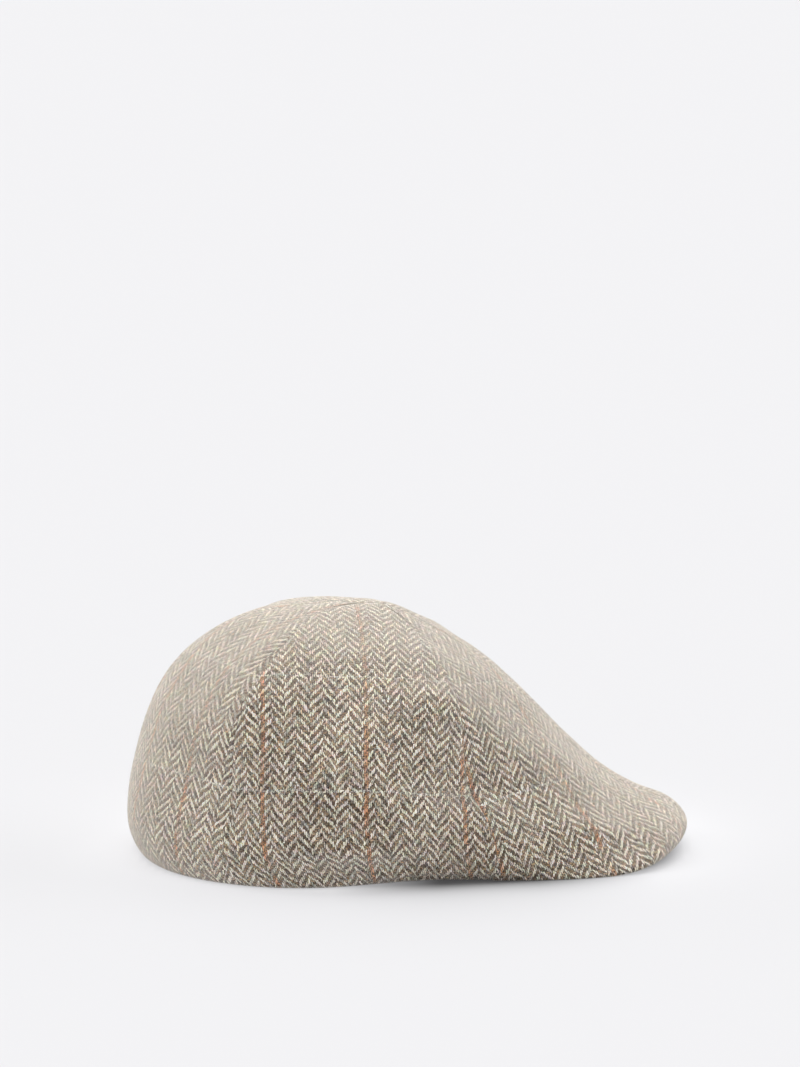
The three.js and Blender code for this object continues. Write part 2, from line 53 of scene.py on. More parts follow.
# ---------------------------------------------------------------- the cap's surface, in mm
import numpy as np
KNOTS = np.array([0, 0.025, 0.06, 0.14, 0.26, 0.40, 0.55, 0.71, 0.87, 1.0])
STATIONS = [  # at, x, y (distance from the middle plane), z: mm at the knots, from the lower edge to the apex
    ('tip',
     [136.2, 137.5, 132.8, 118.1, 97.5, 77.2, 56.9, 33.6, 6.8, -17.0],
     [0.0, 0.0, 0.0, 0.0, 0.0, 0.0, 0.0, 0.0, 0.0, 0.0],
     [9.6, 13.2, 20.0, 27.1, 38.0, 55.9, 77.0, 97.8, 113.9, 122.6]),
    ('tip quarter',
     [133.8, 135.0, 130.2, 116.2, 95.6, 75.9, 55.9, 33.1, 6.6, -17.0],
     [22.0, 22.0, 20.4, 17.5, 15.4, 13.2, 10.6, 7.2, 3.3, 0.0],
     [8.3, 12.1, 18.7, 26.2, 37.7, 56.0, 77.2, 97.8, 113.9, 122.6]),
    ('beak',
     [128.3, 128.6, 123.4, 111.3, 92.5, 73.4, 54.3, 31.8, 6.1, -17.0],
     [38.0, 37.6, 34.9, 30.4, 25.6, 21.4, 17.4, 12.1, 5.7, 0.0],
     [6.0, 9.6, 15.3, 23.2, 36.3, 55.7, 77.4, 97.7, 114.0, 122.6]),
    ('corner of the peak',
     [118.0, 118.2, 113.8, 104.3, 87.5, 69.6, 51.7, 29.8, 5.3, -17.0],
     [51.8, 51.0, 46.5, 40.8, 33.7, 27.7, 22.8, 16.2, 7.9, 0.0],
     [2.3, 6.0, 10.9, 21.2, 35.5, 54.9, 77.2, 97.7, 114.3, 122.6]),
    ('side of the peak',
     [100.0, 100.9, 99.9, 93.0, 79.2, 62.4, 46.2, 26.3, 3.7, -17.0],
     [62.0, 60.6, 56.1, 49.6, 40.7, 34.3, 28.6, 20.5, 10.1, 0.0],
     [0.0, 4.0, 10.2, 22.0, 37.2, 56.3, 78.3, 98.6, 115.0, 122.6]),
    ('side of the peak, rear',
     [78.0, 79.2, 80.0, 77.5, 67.4, 53.1, 39.1, 21.6, 1.4, -17.0],
     [68.0, 66.4, 61.4, 54.2, 48.9, 41.6, 34.9, 25.3, 12.5, 0.0],
     [0.0, 4.4, 10.5, 23.0, 40.6, 59.5, 80.7, 100.6, 116.0, 122.6]),
    ('end of the peak',
     [54.0, 55.8, 58.3, 58.2, 52.6, 41.1, 29.9, 15.1, -1.6, -17.0],
     [71.0, 69.9, 66.9, 61.1, 58.2, 49.9, 43.6, 32.3, 15.8, 0.0],
     [0.2, 4.7, 11.3, 24.5, 44.1, 63.1, 84.0, 102.7, 116.8, 122.6]),
    ('temple',
     [28.0, 29.6, 31.4, 32.8, 30.6, 23.0, 14.7, 4.6, -6.7, -17.0],
     [74.5, 74.0, 73.1, 70.3, 70.4, 62.5, 55.5, 39.3, 19.1, 0.0],
     [1.2, 5.6, 11.8, 25.3, 44.9, 65.1, 87.0, 104.4, 117.8, 122.6]),
    ('temple, rear',
     [0.0, -0.3, -0.5, 0.7, 1.3, -2.2, -7.1, -11.0, -14.4, -17.0],
     [79.0, 80.2, 82.2, 86.7, 84.2, 74.9, 62.9, 44.0, 21.4, 0.0],
     [1.6, 5.1, 10.4, 25.1, 45.5, 67.3, 88.0, 105.6, 118.9, 122.6]),
    ('side',
     [-30.0, -31.6, -33.3, -33.4, -33.1, -34.6, -34.0, -29.4, -23.1, -17.0],
     [84.0, 86.2, 89.0, 93.1, 91.6, 81.6, 65.6, 45.7, 21.6, 0.0],
     [0.2, 4.1, 9.9, 24.7, 46.1, 68.9, 89.4, 107.2, 119.7, 122.6]),
    ('side, widest',
     [-60.0, -62.3, -65.1, -67.6, -66.5, -65.8, -58.5, -45.9, -30.7, -17.0],
     [86.0, 86.9, 88.1, 89.3, 85.4, 78.0, 62.6, 42.8, 19.8, 0.0],
     [0.0, 4.5, 10.7, 25.2, 47.0, 70.4, 92.0, 109.5, 120.5, 122.6]),
    ('rear quarter',
     [-88.0, -89.8, -92.1, -94.8, -94.2, -90.6, -78.2, -58.6, -36.0, -17.0],
     [77.5, 78.1, 78.5, 76.5, 69.5, 64.0, 53.0, 36.1, 16.6, 0.0],
     [0.0, 4.6, 11.0, 25.9, 47.2, 72.1, 95.3, 112.3, 121.3, 122.6]),
    ('back quarter',
     [-111.0, -112.6, -114.5, -116.8, -114.4, -107.6, -92.3, -67.5, -39.8, -17.0],
     [60.0, 58.8, 57.2, 53.6, 49.0, 45.2, 38.4, 26.9, 12.2, 0.0],
     [0.0, 4.9, 11.6, 26.2, 48.0, 73.2, 97.7, 114.7, 122.0, 122.6]),
    ('back, near the middle',
     [-126.0, -128.3, -131.1, -133.9, -128.4, -119.2, -100.9, -73.2, -42.2, -17.0],
     [34.5, 33.7, 32.6, 30.1, 26.8, 24.7, 21.4, 14.9, 6.7, 0.0],
     [0.0, 4.4, 10.9, 27.1, 49.4, 76.3, 100.4, 116.3, 122.6, 122.6]),
    ('back',
     [-131.8, -134.1, -136.6, -136.9, -133.0, -123.3, -104.4, -75.3, -43.2, -17.0],
     [0.0, 0.0, 0.0, 0.0, 0.0, 0.0, 0.0, 0.0, 0.0, 0.0],
     [0.0, 4.0, 10.2, 27.4, 50.0, 77.5, 101.4, 116.9, 122.9, 122.6]),
]
SEAM = {
    "front_side": [6.50, 6.53, 6.62, 6.79, 6.93, 6.84, 6.57, 6.33, 5.45, 4.70],
    "side_back": [10.98, 10.93, 10.82, 10.69, 10.65, 10.66, 10.67, 10.78, 11.75, 13.20],
}
RELIEF = {  # how far the cloth stands proud of the smooth form, mm: a row a place round the edge, a column a knot upwards
    "station": np.array([0, 0.8, 1.6, 2.4, 3.1, 3.8, 4.5, 5.2, 5.9, 6.7, 7.6, 8.5, 9.4, 10.3, 11.0, 11.7, 12.4, 13.2, 14.0]),
    "knots": np.array([0, 0.03, 0.07, 0.12, 0.18, 0.25, 0.32, 0.39, 0.46, 0.54, 0.62, 0.71, 0.81, 0.91, 1.0]),
    "rows": np.array([
        [0.1, -0.2, -0.1, 0.1, 0.1, 0.1, 0.1, 0.1, 0, 0.1, 0, -0.2, -0.4, 0, 0],
        [0.3, 0.2, 0, -0.2, -0.1, -0.1, -0.1, -0.1, 0, 0.1, 0.1, -0.2, -0.3, 0.2, 0],
        [0.6, 0.8, 1, 0.2, 0.2, 0.5, 0.6, 0.2, -0.2, -0.1, 0, 0, -0.2, 0.1, 0],
        [0.8, 1.6, 2.1, 1.2, 0.3, 1.2, 1.8, 1.3, 0, -0.3, 0.4, 0.3, -0.1, 0.3, 0],
        [0.2, 0.2, 0.9, 1.3, 0.2, 1.3, 2.4, 2.8, 1, 0, 0.9, 0.6, -0.1, 0.3, 0],
        [-0.7, -1.1, -0.6, 1, 0.3, 1, 2.5, 3.5, 2.1, 0.8, 1.6, 0.8, 0, 0.3, 0],
        [-1.4, -0.7, 0.6, 1.8, 0.5, 0.3, 1.8, 3.5, 2.8, 1.9, 2.1, 0.8, -0.1, 0.3, 0],
        [-1.3, -0.7, 1.2, 2.5, 0.6, -1.1, 0.8, 3.6, 3.3, 2.8, 2.1, 0.7, -0.1, 0.4, 0],
        [-0.2, 0.8, 1.9, 2.2, 0.1, -2.6, -0.8, 3.2, 3.7, 3.2, 1.6, 0.9, -0.1, 0.2, 0],
        [0.6, 1.9, 2.7, 3.9, 2.3, -3.6, -2.2, 1.6, 3, 3, 0.7, 0.8, -0.3, 0, 0],
        [0.7, 1.6, 2.5, 2.2, 0.8, -1.9, -2.3, 0.7, 0.9, 0.9, 0.1, 0.4, -0.3, -0.3, 0],
        [-0.1, 0.5, 0.4, 2.5, -0.2, -1.1, -1, -0.8, -0.8, -1.1, -0.5, 0.1, -0.6, 0, 0],
        [-0.6, -1, -0.4, 1.7, -1.4, -1.4, -1.3, -1.5, -1.3, 0, 1, 1.2, -0.4, 0.1, 0],
        [-0.8, -0.3, -0.4, -1, -3.1, -1.7, -1, -0.2, 2.1, 3.6, 3.5, 2.9, 0.4, 0.1, 0],
        [-0.5, 0.4, 0, -0.9, -2.1, -1.3, 0, 0.7, 1.7, 3.5, 4.1, 3.2, 0.6, 0.1, 0],
        [-0.2, 1.2, 1.5, 1.4, 0.1, -0.6, -0.6, 0.3, 0.4, 1.2, 1.3, 1.7, 0.3, 0, 0],
        [0, 1.7, 2.7, 2.9, 0.8, 0.9, 0.3, 0.6, -1.4, -0.6, -0.7, 0, -0.1, 0, 0],
        [0.1, 0.2, 0.3, 0.2, -0.2, 0.3, 0.1, -0.2, -0.9, -0.6, -0.1, 0.1, -0.4, -0.1, 0],
        [0, 0, 0, 0.1, 0.2, 0, 0.1, 0.1, 0.4, 0.6, 0.7, 0.5, -0.4, -0.5, 0],
    ]),
}
FOLD_LENGTH = 9.0
FOLD = {  # a soft fold along the seams, mm, dying away over FOLD_LENGTH on both sides
    "knots": np.array([0, 0.12, 0.25, 0.38, 0.52, 0.66, 0.82, 1.0]),
    "front_side": np.array([1.7, 1.1, -0.5, 0.1, 0.2, 1.4, -0.3, -0.3]),
    "side_back": np.array([0.9, 0, 0.2, 0.2, 0.8, 0.1, 0.7, -0.1]),
}
LAST = len(STATIONS) - 1


def spline_matrix(knots, level_end, level_start=False):
    """Turns values at the knots into second derivatives there: natural or level at each end."""
    n = len(knots)
    A, B = np.eye(n), np.zeros((n, n))
    for i in range(1, n - 1):
        h0, h1 = knots[i] - knots[i - 1], knots[i + 1] - knots[i]
        A[i, i - 1:i + 2] = h0, 2 * (h0 + h1), h1
        B[i, i - 1:i + 2] = 6 / h0, -6 / h1 - 6 / h0, 6 / h1
    if level_end:
        h = knots[-1] - knots[-2]
        A[-1, -2:] = h, 2 * h
        B[-1, -2:] = 6 / h, -6 / h
    if level_start:
        h = knots[1] - knots[0]
        A[0, :2] = 2 * h, h
        B[0, :2] = -6 / h, 6 / h
    return np.linalg.solve(A, B)


def spline_basis(knots, q, level_end=False, level_start=False):
    """Rows that weigh the knot values to give the spline at each q."""
    q = np.atleast_1d(np.asarray(q, float))
    M = spline_matrix(knots, level_end, level_start)
    i = np.clip(np.searchsorted(knots, q, side="right") - 1, 0, len(knots) - 2)
    h = knots[i + 1] - knots[i]
    a, b = (knots[i + 1] - q) / h, (q - knots[i]) / h
    W = np.zeros((len(q), len(knots)))
    r = np.arange(len(q))
    W[r, i] += a
    W[r, i + 1] += b
    return W + ((a**3 - a) * h * h / 6)[:, None] * M[i] + ((b**3 - b) * h * h / 6)[:, None] * M[i + 1]


RING = 2 * LAST
_ring = np.zeros((RING, RING))
_diff = np.zeros((RING, RING))
for _i in range(RING):
    _ring[_i, [_i - 1, _i, (_i + 1) % RING]] = 1, 4, 1
    _diff[_i, [_i - 1, _i, (_i + 1) % RING]] = 6, -12, 6
RING_M = np.linalg.solve(_ring, _diff)
TABLE = np.array([[row[1], row[2], row[3]] for row in STATIONS], float)


def form(s, t):
    """The cap's smooth form in mm: s (rows by columns) round the edge, t one value a row."""
    s, t = np.atleast_2d(s), np.atleast_1d(t)
    Wn, Wl = spline_basis(KNOTS, t), spline_basis(KNOTS, t, True)
    out = np.zeros(s.shape + (3,))
    f = np.floor(s)
    b, i = s - f, f.astype(int) % RING
    a, j = 1 - b, (i + 1) % RING
    ca, cb = (a**3 - a) / 6, (b**3 - b) / 6
    for c in range(3):
        half = TABLE[:, c] @ (Wl if c == 2 else Wn).T
        back = half[1:LAST][::-1] * (-1 if c == 1 else 1)
        ring = np.concatenate([half, back]).T
        if c == 1:
            ring[:, 0] = ring[:, LAST] = 0
        M = ring @ RING_M.T
        take = lambda v, k: np.take_along_axis(v, k, 1)
        out[..., c] = a * take(ring, i) + b * take(ring, j) + ca * take(M, i) + cb * take(M, j)
    out[..., 1] *= -1
    out[..., 2] = np.maximum(out[..., 2], 0)
    return out


def form_normal(s, t):
    t = np.atleast_1d(t)
    t0, t1 = np.maximum(0, t - 0.004), np.minimum(0.999, t + 0.004)
    ds, dt = form(s + 0.02, t) - form(s - 0.02, t), form(s, t1) - form(s, t0)
    n = np.cross(dt, ds)
    return n / np.linalg.norm(n, axis=-1, keepdims=True)


def edge_fade(t):
    q = np.clip(np.atleast_1d(t) / 0.03, 0, 1)
    return q * q * (3 - 2 * q)


def relief(s, t):
    by_row = spline_basis(RELIEF["knots"], t) @ RELIEF["rows"].T
    a = np.minimum(np.abs(s), LAST)
    W = spline_basis(RELIEF["station"], a.ravel(), True, True).reshape(a.shape + (-1,))
    return np.einsum("ij,icj->ic", by_row, W) * edge_fade(t)[:, None]


def fold(edge, t, d):
    """The soft fold along a seam; d is the distance from it in mm, rows by columns."""
    if not isinstance(edge, str):
        return np.zeros_like(d)
    return (edge_fade(t) * top_fade(t) * (spline_basis(FOLD["knots"], t) @ FOLD[edge]))[:, None] * np.exp(-d / FOLD_LENGTH)


def top_fade(t):
    q = np.clip((0.995 - np.atleast_1d(t)) / 0.09, 0, 1)
    return q * q * (3 - 2 * q)


def grid_normal(P, N0, t):
    """Normals of a grid of points; near the apex, where the rows are very short, the smooth form's own."""
    n = np.cross(np.gradient(P, axis=0), np.gradient(P, axis=1))
    n = n / np.maximum(1e-9, np.linalg.norm(n, axis=-1, keepdims=True))
    f = top_fade(t)[:, None, None]
    n = n * f + N0 * (1 - f)
    return n / np.linalg.norm(n, axis=-1, keepdims=True)


def skin(s, t):
    """The cap's outer surface with its relief, and its normals there, on a grid."""
    N0 = form_normal(s, t)
    P = form(s, t) + N0 * relief(s, t)[..., None]
    P[..., 2] = np.maximum(P[..., 2], 0)
    return P, grid_normal(P, N0, t)


def seam(edge, t):
    return np.full(len(t), float(edge)) if not isinstance(edge, str) else spline_basis(KNOTS, t) @ np.array(SEAM[edge])


def gore_columns(frm, to, t, want):
    """Stations of the columns: want (0 to 1) is the share of the way across, by length along each row."""
    a, b = seam(frm, t), seam(to, t)
    q = np.linspace(0, 1, 241)
    P = form(a[:, None] + (b - a)[:, None] * q, t)
    d = np.linalg.norm(np.diff(P, axis=1), axis=2)
    L = np.concatenate([np.zeros((len(t), 1)), np.cumsum(d, axis=1)], 1)
    S = np.array([np.interp(np.asarray(w if np.ndim(want) == 2 else want) * row[-1], row, q) for row, w in zip(L, want if np.ndim(want) == 2 else L)])
    return a[:, None] + (b - a)[:, None] * S, L[:, -1]


def flatten(P, rounds=60):
    """Lays a grid of points (rows by columns by xyz) flat with as little stretch as it can: the cloth's own coordinates in mm."""
    R, C = P.shape[:2]
    V = P.reshape(-1, 3)
    idx = np.arange(R * C).reshape(R, C)
    a, b, c, d = idx[:-1, :-1].ravel(), idx[:-1, 1:].ravel(), idx[1:, 1:].ravel(), idx[1:, :-1].ravel()
    T = np.concatenate([np.stack([a, b, c], 1), np.stack([a, c, d], 1)])
    p0, p1, p2 = V[T[:, 0]], V[T[:, 1]], V[T[:, 2]]
    e = p1 - p0
    l = np.linalg.norm(e, axis=1)
    ex = e / l[:, None]
    n = np.cross(e, p2 - p0)
    ey = np.cross(n / np.linalg.norm(n, axis=1)[:, None], ex)
    X = np.zeros((len(T), 3, 2))
    X[:, 1, 0] = l
    X[:, 2, 0], X[:, 2, 1] = np.einsum("ij,ij->i", p2 - p0, ex), np.einsum("ij,ij->i", p2 - p0, ey)
    cot = np.zeros((len(T), 3))
    for k in range(3):  # angle opposite to the edge k, k+1
        o = X[:, (k + 2) % 3]
        u, v = X[:, k] - o, X[:, (k + 1) % 3] - o
        cot[:, k] = (u * v).sum(1) / np.abs(u[:, 0] * v[:, 1] - u[:, 1] * v[:, 0])
    cot = np.clip(cot, 0.05, 20)
    N = R * C
    A = np.zeros((N, N))
    for k in range(3):
        i, j = T[:, k], T[:, (k + 1) % 3]
        np.add.at(A, (i, i), cot[:, k])
        np.add.at(A, (j, j), cot[:, k])
        np.add.at(A, (i, j), -cot[:, k])
        np.add.at(A, (j, i), -cot[:, k])
    A[0, :] = 0
    A[0, 0] = 1
    inv = np.linalg.inv(A)
    mid = C // 2
    rowlen = np.concatenate([np.zeros((R, 1)), np.cumsum(np.linalg.norm(np.diff(P, axis=1), axis=2), 1)], 1)
    collen = np.concatenate([[0], np.cumsum(np.linalg.norm(np.diff(P[:, mid], axis=0), axis=1))])
    U = np.stack([rowlen - rowlen[:, mid:mid + 1], np.repeat(collen[:, None], C, 1)], -1).reshape(-1, 2)
    for _ in range(rounds):
        S = np.zeros((len(T), 2, 2))
        for k in range(3):
            du, dx = U[T[:, k]] - U[T[:, (k + 1) % 3]], X[:, k] - X[:, (k + 1) % 3]
            S += cot[:, k, None, None] * du[:, :, None] * dx[:, None, :]
        p, q = S[:, 0, 0] + S[:, 1, 1], S[:, 1, 0] - S[:, 0, 1]
        r = np.hypot(p, q) + 1e-12
        p, q = p / r, q / r
        rhs = np.zeros((N, 2))
        for k in range(3):
            i, j = T[:, k], T[:, (k + 1) % 3]
            dx = X[:, k] - X[:, (k + 1) % 3]
            v = np.stack([p * dx[:, 0] - q * dx[:, 1], q * dx[:, 0] + p * dx[:, 1]], 1) * cot[:, k, None]
            np.add.at(rhs, i, v)
            np.add.at(rhs, j, -v)
        rhs[0] = U[0]
        U = inv @ rhs
    return U.reshape(R, C, 2)

# ---------------------------------------------------------------- meshes
MM = 0.001
rng_master = 7261


def smooth_noise(x, y, seed, cell):
    """Smooth random field between -1 and 1 over a plane in mm, cell mm wide."""
    rng = np.random.default_rng(seed)
    g = rng.uniform(-1, 1, (64, 64))
    u, v = x / cell + 31.7, y / cell + 29.3
    i, j = np.floor(u).astype(int), np.floor(v).astype(int)
    a, b = u - i, v - j
    a, b = a * a * (3 - 2 * a), b * b * (3 - 2 * b)
    at = lambda p, q: g[p % 64, q % 64]
    return (at(i, j) * (1 - a) * (1 - b) + at(i + 1, j) * a * (1 - b) + at(i, j + 1) * (1 - a) * b + at(i + 1, j + 1) * a * b)


def zipper(A, a, B, b):
    """Triangles between two rows of vertices whose places along the row are a and b."""
    out, i, j = [], 0, 0
    while i < len(A) - 1 or j < len(B) - 1:
        if j == len(B) - 1 or (i < len(A) - 1 and a[i + 1] <= b[j + 1]):
            out.append((A[i], A[i + 1], B[j]))
            i += 1
        else:
            out.append((A[i], B[j + 1], B[j]))
            j += 1
    return out


def make_object(name, verts, quads, tris, weave_uv, bake_uv, edge, sheen_paint):
    """verts in mm; the two sets of UVs are one a vertex, and edge is each vertex's distance, mm, up from the lower
    edge;
    the last argument is how much painted sheen pales and fades the weave there, 0 to 1."""
    mesh = bpy.data.meshes.new(name)
    quads, tris = np.asarray(quads, np.int32).reshape(-1, 4), np.asarray(tris, np.int32).reshape(-1, 3)
    loops = np.concatenate([quads.ravel(), tris.ravel()])
    starts = np.concatenate([np.arange(len(quads)) * 4, len(quads) * 4 + np.arange(len(tris)) * 3])
    mesh.vertices.add(len(verts))
    mesh.vertices.foreach_set("co", (np.asarray(verts) * MM).astype(np.float32).ravel())
    mesh.loops.add(len(loops))
    mesh.loops.foreach_set("vertex_index", loops.astype(np.int32))
    mesh.polygons.add(len(starts))
    mesh.polygons.foreach_set("loop_start", starts.astype(np.int32))
    mesh.update(calc_edges=True)
    mesh.validate()
    for label, uv in (("Weave", weave_uv), ("OFBake", bake_uv)):
        layer = mesh.uv_layers.new(name=label)
        layer.data.foreach_set("uv", np.asarray(uv, np.float32)[loops].ravel())
    att = mesh.attributes.new("hem_mm", "FLOAT", "POINT")
    att.data.foreach_set("value", np.asarray(edge, np.float32))
    mesh.attributes.new("sheen_paint", "FLOAT", "POINT").data.foreach_set("value", np.asarray(sheen_paint, np.float32))
    mesh.polygons.foreach_set("use_smooth", np.ones(len(mesh.polygons), bool))
    mesh.set_sharp_from_angle(angle=math.radians(50))
    obj = bpy.data.objects.new(name, mesh)
    bpy.context.scene.collection.objects.link(obj)
    return obj


def closed_sheet(outer, inner, t_out, t_in, w_out, w_in):
    """Quads and triangles of a closed body between a fine outer grid and a coarser inner one. Vertices: outer, then inner."""
    R, C = outer
    r, c = inner
    o = lambda i, j: i * C + j
    q = lambda i, j: R * C + i * c + j
    I, J = np.meshgrid(np.arange(R - 1), np.arange(C - 1), indexing="ij")
    A = np.stack([o(I, J), o(I, J + 1), o(I + 1, J + 1), o(I + 1, J)], -1).reshape(-1, 4)
    I, J = np.meshgrid(np.arange(r - 1), np.arange(c - 1), indexing="ij")
    B = np.stack([q(I, J), q(I + 1, J), q(I + 1, J + 1), q(I, J + 1)], -1).reshape(-1, 4)
    T = []
    # lower border, upper border, and the two sides
    T += [(x[0], x[2], x[1]) for x in zipper([o(0, j) for j in range(C)], w_out, [q(0, j) for j in range(c)], w_in)]
    T += zipper([o(R - 1, j) for j in range(C)], w_out, [q(r - 1, j) for j in range(c)], w_in)
    T += zipper([o(i, 0) for i in range(R)], t_out, [q(i, 0) for i in range(r)], t_in)
    T += [(x[0], x[2], x[1]) for x in zipper([o(i, C - 1) for i in range(R)], t_out, [q(i, c - 1) for i in range(r)], t_in)]
    return np.concatenate([A, B]), np.array(T)


def pack_uv(W_out, W_in):
    """Bake layout: the outer face fills the square, and the inner face is a smaller copy beside it."""
    out = []
    for W, (x0, y0, x1, y1) in ((W_out, (0.006, 0.006, 0.706, 0.994)), (W_in, (0.722, 0.006, 0.994, 0.994))):
        lo, hi = W.min(0), W.max(0)
        k = min((x1 - x0) / (hi[0] - lo[0]), (y1 - y0) / (hi[1] - lo[1]))
        out.append((W - lo) * k + np.array([x0, y0]))
    return np.concatenate(out)


CLOTH, HEM, HEM_TOP = 2.0, 3.6, 0.085
HALF_GAP = 0.06                    # the sewn edges meet; this keeps the two cloths apart
TOP = 0.9965


def row_places(frm, to, roll, rows):
    """t of the rows: close together round the rolled lower edge, then even along the middle of the panel."""
    tt = np.linspace(0, TOP, 1200)
    mid = ((seam(frm, tt) + seam(to, tt)) / 2)[:, None]
    P = form(mid, tt)[:, 0]
    d = np.concatenate([[0], np.cumsum(np.linalg.norm(np.diff(P, axis=0), axis=1))])
    phi = np.linspace(0, math.pi / 2, 9)
    near = roll * (1 - np.cos(phi))
    want = np.concatenate([near, np.linspace(near[-1], d[-1], rows - 8)[1:]])
    return np.interp(want, d, tt)


def column_places(cols, width):
    e = np.array([0, 0.2, 0.45, 0.75, 1.1, 1.5, 2.0, 2.6]) / width
    return np.concatenate([e, np.linspace(e[-1], 1 - e[-1], cols - 14)[1:-1], 1 - e[::-1]])


def dents(P, s, t, seed):
    """Soft unevenness of the cloth, mm outwards."""
    x, y, z = P[..., 0], P[..., 1], P[..., 2]
    a = np.arctan2(y, x + 17) * 80
    fade = np.clip((0.97 - t) / 0.2, 0, 1)[:, None]
    low = smooth_noise(a, z * 1.1, seed, 34) * 0.35 + smooth_noise(a + 11, z * 1.2, seed + 1, 17) * 0.16 + smooth_noise(a, z, seed + 2, 7.5) * 0.06
    return low * fade


def gore(name, node, frm, to, left, plain_hem, seed, cols, rows, phase):
    roll = (CLOTH if plain_hem else HEM) / 2
    T = row_places(frm, to, roll, rows)
    W = column_places(cols, 110.0)
    s, L = gore_columns(frm, to, T, W)
    P, N = skin(s, T)
    # cloth coordinates in mm
    tr = np.concatenate([[0.004, 0.012, 0.025, 0.045], np.linspace(0.07, 0.9, 24), [0.93, 0.96, 0.985]])
    cw = np.linspace(0, 1, 21)
    sc, Lc = gore_columns(frm, to, tr, cw)
    share = cw[None, :] * Lc[:, None]
    Pc, Nc = skin(sc, tr)
    UV = flatten(Pc + Nc * (fold(frm, tr, share) + fold(to, tr, Lc[:, None] - share))[..., None])
    Tc, Wc = np.clip(T, tr[0], None), W
    cloth = np.einsum("ij,jkc,lk->ilc", spline_basis(tr, Tc), UV, spline_basis(cw, Wc))
    slope = np.einsum("ij,jkc,lk->ilc", spline_basis(tr, [tr[0] + 1e-3]) - spline_basis(tr, [tr[0]]), UV, spline_basis(cw, Wc)) / 1e-3
    cloth = cloth + slope * np.minimum(0, T - tr[0])[:, None, None]

    # valley along both seams, and soft dents
    edge = W[None, :] * L[:, None]
    lift = fold(frm, T, edge) + fold(to, T, L[:, None] - edge)
    edge = np.minimum(edge, L[:, None] - edge)
    half = np.minimum(2.4, L * 0.16)[:, None]
    valley = 0.35 * np.clip(1 - edge / half, 0, 1) ** 2 * np.minimum(1, L / 24)[:, None]
    shrink = np.clip(HALF_GAP * (1 - edge / 2.0), 0, HALF_GAP)
    across = np.gradient(P, axis=1)
    across /= np.linalg.norm(across, axis=-1, keepdims=True)
    sign = np.where(W < 0.5, 1.0, -1.0)[None, :, None]
    P = P + across * (shrink[..., None] * sign)
    P = P + N * lift[..., None]
    N = grid_normal(P, N, T)
    flat = N.copy()
    flat[..., 2] = 0
    flat /= np.linalg.norm(flat, axis=-1, keepdims=True)
    D = dents(P, s, T, seed) * np.clip(edge / 6, 0, 1) - valley

    # painted sheen: cloth that turns away from facing along y, that is the crown, the back and the top of the peak, is
    # marked so that its weave is paled and faded, standing in for the sheen of the wool's fuzz at a grazing angle
    painted_sheen = np.clip((0.90 - np.abs(N[..., 1])) / 0.45, 0, 1)
    painted_sheen = painted_sheen * painted_sheen * (3 - 2 * painted_sheen)

    # rolled lower edge
    step = np.linalg.norm(np.diff(P, axis=0), axis=2)
    d = np.concatenate([np.zeros((1, len(W))), np.cumsum(step, axis=0)])
    inwards = roll - np.sqrt(np.maximum(0, roll**2 - np.maximum(0, roll - d) ** 2))
    arc = np.where(d < roll, roll * np.arccos(np.clip(1 - d / roll, -1, 1)) - d, roll * (math.pi / 2 - 1))
    cloth[..., 1] += arc - roll * (math.pi / 2 - 1)
    D = D * np.clip(d / 5, 0, 1)
    if not plain_hem:
        # the turned-up hem: it tucks under all round, and at the temple the cloth above it folds softly over it
        temple = np.exp(-(((s - 7.75) / 0.42) ** 2))
        D = D + temple * (0.7 * np.exp(-(((d - 6.2) / 2.4) ** 2)) - 1.3 * np.exp(-(((d - 2.7) / 0.75) ** 2)))
        tuck = 0.8 * np.clip(1 - d / 5.5, 0, 1) ** 2
    else:
        tuck = 0.0 * d
    outer = P + N * D[..., None] - flat * (inwards + tuck)[..., None]
    outer[..., 2] = np.maximum(outer[..., 2], 0.0)

    # inner face: coarser, thicker behind the turned-up hem
    ri = np.unique(np.concatenate([[0, 2, 4, 6, 8, 10], np.arange(12, len(T) - 1, 5), [len(T) - 1]]))
    ci = np.unique(np.concatenate([np.arange(0, len(W), 4), [len(W) - 1]]))
    Ti, Wi = T[ri], W[ci]
    g = lambda a: a[np.ix_(ri, ci)]
    if plain_hem:
        thick = np.full(len(Ti), CLOTH)
    else:
        thick = np.where(Ti < HEM_TOP, HEM, np.maximum(CLOTH, HEM - (HEM - CLOTH) * (Ti - HEM_TOP) / 0.05))
    wall = thick[:, None] - g(inwards)
    P = P - flat * tuck[..., None]
    direction = g(N) * np.clip(g(d) / 6, 0, 1)[..., None] + g(flat) * np.clip(1 - g(d) / 6, 0, 1)[..., None]
    direction /= np.linalg.norm(direction, axis=-1, keepdims=True)
    inner = g(P) - direction * (wall + g(valley) * 0.3)[..., None]
    inner[..., 2] = np.maximum(inner[..., 2], 0.0)
    inner[0, :] = outer[0][ci]
    inner[0, :] -= g(flat)[0] * 0.02
    inner_cloth = np.stack([g(cloth[..., 0]), 2 * cloth[0, :, 1][ci][None, :] - g(cloth[..., 1])], -1)

    verts = np.concatenate([outer.reshape(-1, 3), inner.reshape(-1, 3)])
    quads, tris = closed_sheet(outer.shape[:2], inner.shape[:2], T, Ti, W, Wi)
    if left:
        verts = verts * np.array([1, -1, 1])
        quads, tris = quads[:, ::-1], tris[:, ::-1]
    weave = np.concatenate([cloth.reshape(-1, 2), inner_cloth.reshape(-1, 2)])
    bake = pack_uv(cloth.reshape(-1, 2), inner_cloth.reshape(-1, 2))
    obj = make_object(name, verts, quads, tris, weave / 100, bake, np.concatenate([d.ravel(), g(d).ravel() + 1.0]), np.concatenate([painted_sheen.ravel(), g(painted_sheen).ravel() * 0]))
    fix_outward(obj)
    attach(obj, "root")
    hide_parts(node)
    return obj


